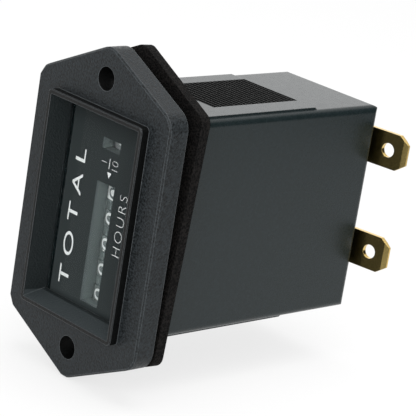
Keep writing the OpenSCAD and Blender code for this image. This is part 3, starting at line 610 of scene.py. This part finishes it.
def carried(profile, z_low, z_high):
    """A closed solid: the profile's (x, y) points, with x from the drum's axis, at two z levels, walls
    between neighbours, and a face at each end. The points run anticlockwise, so the faces point outwards."""
    n = len(profile)
    flat = np.array(profile) + [DRUM_X, 0]
    co = np.concatenate([np.column_stack([flat, np.full(n, z)]) for z in (z_low, z_high)])
    i = np.arange(n)
    j = (i + 1) % n
    walls = np.stack([i, j, j + n, i + n], 1).tolist()
    return co, walls + [i[::-1].tolist(), (i + n).tolist()]


def arc(radius, x):
    """Points on the front of a circle about the drum's axis: y = DRUM_Y - sqrt(radius * radius - x * x)."""
    return np.stack([x, DRUM_Y - np.sqrt(radius ** 2 - x ** 2)], 1)


RAIL_IN = 2.2
RAIL_OUT = 2.6
WELL_BACK = 2.2
RAIL_END = 2.72
RUN_WINDOW = (10.48, 12.33)
COMB_R = 5.97
COMB_T = 0.27
ARC_POINTS = 16
# Half of a number band, and the room that a finger leaves beside it.
BAND = 1.3
CLEAR = 0.1
OTHER_SIDE = np.array([-1, 1])
foot = np.array([[RAIL_IN, WELL_BACK], [RAIL_OUT, WELL_BACK]])
finger = np.concatenate([
    arc(COMB_R, np.linspace(-RAIL_IN, RAIL_IN, ARC_POINTS)), foot,
    arc(COMB_R - COMB_T, np.linspace(RAIL_OUT, -RAIL_OUT, ARC_POINTS)), (foot * OTHER_SIDE)[::-1]])
rail = np.concatenate([foot, [[RAIL_OUT, RAIL_END], [RAIL_IN, RAIL_END]]])
rails = [rail, (rail * OTHER_SIDE)[::-1]]
comb = []
for z in drum_places.values():
    comb += [carried(side_rail, z - BAND - CLEAR, z + BAND + CLEAR) for side_rail in rails]
    if z < max(drum_places.values()):
        comb.append(carried(finger, z + BAND + CLEAR, z + DRUM_PITCH - BAND - CLEAR))
comb += [carried(side_rail, *RUN_WINDOW) for side_rail in rails]
inked("window_comb", comb, "meter", "mask_grey")

# %% [markdown]
# ## Marks on the run indicator
# The little wheel above the counter turns while the meter runs. Slanted white marks make that
# easy to see. Each is a patch of a cylinder: the angle changes with z, so the mark leans.

# %% Marks on the run indicator


def slanted_mark(middle, wide, lean, z_low, z_high, radius, steps=8):
    """A patch on a cylinder. Its middle angle runs from `middle` at z_low to `middle + lean` at z_high,
    and it spans `wide` degrees; angles are from the front towards +x."""
    s, t = np.meshgrid(np.linspace(-0.5, 0.5, steps + 1), np.linspace(0, 1, steps + 1))
    angle = np.radians(middle + lean * t + wide * s)
    co = np.stack([DRUM_X + radius * np.sin(angle), DRUM_Y - radius * np.cos(angle),
                   z_low + (z_high - z_low) * t], -1).reshape(-1, 3)
    i = np.arange(steps)[:, None] * (steps + 1) + np.arange(steps)[None, :]
    faces = np.stack([i, i + 1, i + steps + 2, i + steps + 1], -1).reshape(-1, 4)
    return co, faces.tolist()


BAND_R = 5.9
MARKS = 3
FIRST_MARK = 6
MARK_WIDE = 34
MARK_LEAN = -10
MARK_Z = (11.05, 12.3)
marks = [slanted_mark(FIRST_MARK + 360 / MARKS * k, MARK_WIDE, MARK_LEAN, *MARK_Z, BAND_R + INK)
         for k in range(MARKS)]
inked("run_marks", marks, "indicator", "drum_white")

# %% [markdown]
# ## Floor
# The meter stands on white paper. Camera, glossy and transmission rays see the paper near full white, and
# the other rays see plain paper, so the white doesn't light the meter more. A share of plain paper stays
# in the mix for all rays, and with it the shadow.

# %% Floor


def seen(tree):
    """1 for the rays that show a background: the larger of the transmission ray's flag and the sum of the
    camera and glossy rays' flags."""
    path = add(tree, "LightPath")
    shown = add(tree, "Math", {0: path.outputs["Is Camera Ray"], 1: path.outputs["Is Glossy Ray"]},
                operation="ADD")
    return add(tree, "Math", {0: shown.outputs[0], 1: path.outputs["Is Transmission Ray"]},
               operation="MAXIMUM").outputs[0]


WHITE = (1, 1, 1, 1)
WHITE_SHARE = 0.75
FLOOR_HALF = 4.0
FLOOR_GAP = 0.00001
level = cad_bounds[0][2] - FLOOR_GAP
floor_mesh = bpy.data.meshes.new("floor")
floor_corners = [(FLOOR_HALF * x, FLOOR_HALF * y, level) for x, y in ((-1, -1), (1, -1), (1, 1), (-1, 1))]
floor_mesh.from_pydata(floor_corners, [], [(0, 1, 2, 3)])
floor = new_object("floor", floor_mesh)
material, tree, output = new_material("paper, white studio sweep")
share = add(tree, "MapRange", {0: seen(tree), 3: 0.0, 4: WHITE_SHARE})
paper = add(tree, "BsdfDiffuse", {"Color": linear("#f4f4f4")})
white = add(tree, "Emission", {"Color": WHITE, "Strength": 1.0})
mix = add(tree, "MixShader", {0: share.outputs[0], 1: paper.outputs[0], 2: white.outputs[0]})
tree.links.new(mix.outputs[0], output.inputs[0])
floor_mesh.materials.append(material)
print("Floor at", round(level / MM, 2), "mm")

# %% [markdown]
# ## White room
# A light tent stands around the table. The same rays see it full white, and it lights the meter with a
# lower strength, because the lamps do most of that.

# %% White room
ROOM_LIGHT = 0.6
world = bpy.data.worlds.new("tent")
bpy.context.scene.world = world
world.use_nodes = True
tree = world.node_tree
tree.nodes.clear()
strength = add(tree, "MapRange", {0: seen(tree), 3: ROOM_LIGHT, 4: 1.0})
sky = add(tree, "Background", {"Color": WHITE, "Strength": strength.outputs[0]})
end = add(tree, "OutputWorld")
tree.links.new(sky.outputs[0], end.inputs[0])
print("Room lights with a strength of", ROOM_LIGHT)

# %% [markdown]
# ## Softboxes
# Three square lamps: a large one behind the camera, one overhead that draws the shadow under the
# meter, and a weak one behind the meter that keeps its far side from going black.

# %% Softboxes


def softbox(name, place, size, watts):
    """A square area light at `place` in metres, turned towards the origin."""
    data = bpy.data.lights.new(name, "AREA")
    data.size = size
    data.energy = watts
    lamp = new_object(name, data)
    lamp.location = place
    lamp.rotation_euler = (-lamp.location).to_track_quat("-Z", "Y").to_euler()


softbox("overhead", (0.05, 0.05, 0.6), 0.5, 2.5)
softbox("front", (0.41, -0.52, 0.23), 0.7, 3.6)
softbox("back", (-0.47, 0.48, 0.2), 0.4, 0.2)
print("Softboxes:", len(bpy.data.lights))

# %% [markdown]
# ## Dark card
# Black plastic shows what it mirrors, so a dark card stands behind the meter, to the right. It draws the
# dark line along the edge of the case. Only reflections see it: it is hidden from the camera, casts no
# shadow and dims no light on the meter.

# %% Dark card


def card(name, corners):
    """A flat dark card through its corners, in metres, for reflections alone."""
    mesh = bpy.data.meshes.new(name)
    mesh.from_pydata(corners, [], [tuple(range(len(corners)))])
    mesh.materials.append(card_finish)
    piece = new_object(name, mesh)
    piece.visible_camera = piece.visible_diffuse = piece.visible_shadow = False


CARD_LEFT = (0.05, 0.2)
CARD_RIGHT = (0.24, 0.145)
CARD_LOW = -0.025
CARD_HIGH = 0.185
card_finish, tree, output = new_material("card, matte dark grey")
matte = add(tree, "BsdfDiffuse", {"Color": linear("#141516")})
tree.links.new(matte.outputs[0], output.inputs[0])
card("card_back", [(*CARD_LEFT, CARD_LOW), (*CARD_RIGHT, CARD_LOW),
                   (*CARD_RIGHT, CARD_HIGH), (*CARD_LEFT, CARD_HIGH)])
print("Card from", CARD_LOW, "to", CARD_HIGH, "m")

# %% [markdown]
# ## View settings
# The Standard view shows the colours as they were set.

# %% View settings
bpy.context.scene.view_settings.view_transform = "Standard"
